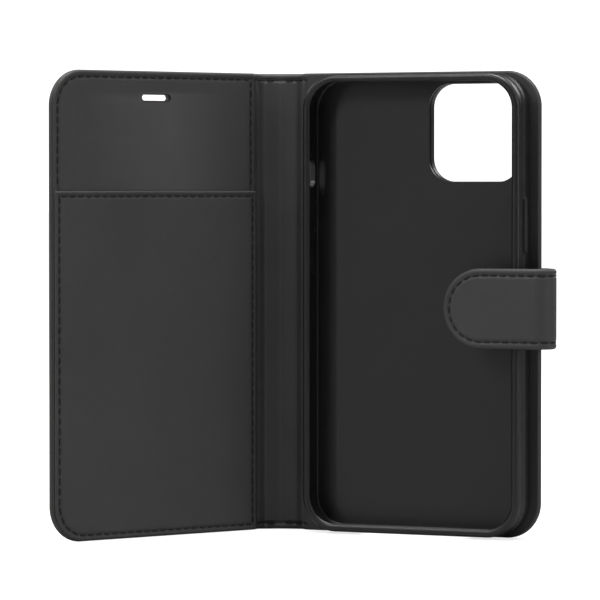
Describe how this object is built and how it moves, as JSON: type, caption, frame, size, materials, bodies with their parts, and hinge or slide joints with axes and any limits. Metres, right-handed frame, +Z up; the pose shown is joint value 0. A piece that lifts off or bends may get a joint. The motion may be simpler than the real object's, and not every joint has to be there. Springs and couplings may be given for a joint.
{
  "type": "phone wallet case",
  "caption": "Book-style leather phone cover, half open and standing, with a moulded phone tray, a deep slip pocket, an earpiece slot and a magnetic strap folded over the tray.",
  "frame": {"origin": "middle of the back cover's bottom edge, where the case stands", "axes": "+X along the back cover towards the fore-edge and strap, +Y out of the back cover's outside face, +Z up along the case's height"},
  "size_m": [0.1553, 0.0862, 0.156],
  "materials": {
    "outer_leather": "satin, fine pebbled grain, edges turned and sewn",
    "lining_leather": "satin, smooth fine grain",
    "greyboard": "matt pressed board",
    "moulded_tpu": "satin flexible moulding",
    "adhesive_foam": "matt double-sided foam tape",
    "steel_plate": "plain sheet steel",
    "magnet_nickel": "nickel plated",
    "stiffener": "matt pressed non-woven"
  },
  "bodies": {
    "back_cover": {"back_outer_leather": "outer_leather", "back_board": "greyboard", "back_lining": "lining_leather", "strap_anchor": "outer_leather", "tray_adhesive_pad": "adhesive_foam", "tray_shell": "moulded_tpu"},
    "power_button": {"power_button": "moulded_tpu"},
    "volume_up_button": {"volume_up_button": "moulded_tpu"},
    "volume_down_button": {"volume_down_button": "moulded_tpu"},
    "spine": {"spine_outer_leather": "outer_leather", "spine_board": "greyboard", "spine_lining": "lining_leather", "back_fold_leather": "outer_leather", "front_fold_leather": "outer_leather"},
    "front_cover": {"front_outer_leather": "outer_leather", "front_board": "greyboard", "front_lining": "lining_leather", "pocket_panel": "lining_leather", "strap_keeper_plate": "steel_plate"},
    "strap_side": {"strap_side_outer_leather": "outer_leather", "strap_side_core": "stiffener", "strap_side_inner_leather": "lining_leather", "strap_root_fold": "outer_leather", "strap_bend_fold": "outer_leather"},
    "strap_tongue": {"strap_tongue_outer_leather": "outer_leather", "strap_tongue_core": "stiffener", "strap_tongue_inner_leather": "lining_leather", "lower_magnet": "magnet_nickel", "upper_magnet": "magnet_nickel"}
  },
  "joints": [
    {"name": "back_hinge", "type": "hinge", "parent": "back_cover", "child": "spine", "pos_m": [-0.04465, -0.00042, 0], "axis": [0, 0, 1], "range_deg": [-113.5, 66.5]},
    {"name": "front_hinge", "type": "hinge", "parent": "spine", "child": "front_cover", "pos_m": [-0.05868, -0.00653, 0], "axis": [0, 0, 1], "range_deg": [-130.5, 49.5]},
    {"name": "strap_root", "type": "hinge", "parent": "back_cover", "child": "strap_side", "pos_m": [0.04405, -0.00042, 0.077], "axis": [0, 0, 1], "range_deg": [0, 110]},
    {"name": "strap_bend", "type": "hinge", "parent": "strap_side", "child": "strap_tongue", "pos_m": [0.05572, -0.01452, 0.077], "axis": [0, 0, 1], "range_deg": [0, 129.6]},
    {"name": "power_press", "type": "slide", "parent": "back_cover", "child": "power_button", "axis": [-1, 0, 0], "range_m": [0, 0.0004], "stiffness_N_per_m": 4000},
    {"name": "volume_up_press", "type": "slide", "parent": "back_cover", "child": "volume_up_button", "axis": [1, 0, 0], "range_m": [0, 0.0004], "stiffness_N_per_m": 4000},
    {"name": "volume_down_press", "type": "slide", "parent": "back_cover", "child": "volume_down_button", "axis": [1, 0, 0], "range_m": [0, 0.0004], "stiffness_N_per_m": 4000}
  ]
}
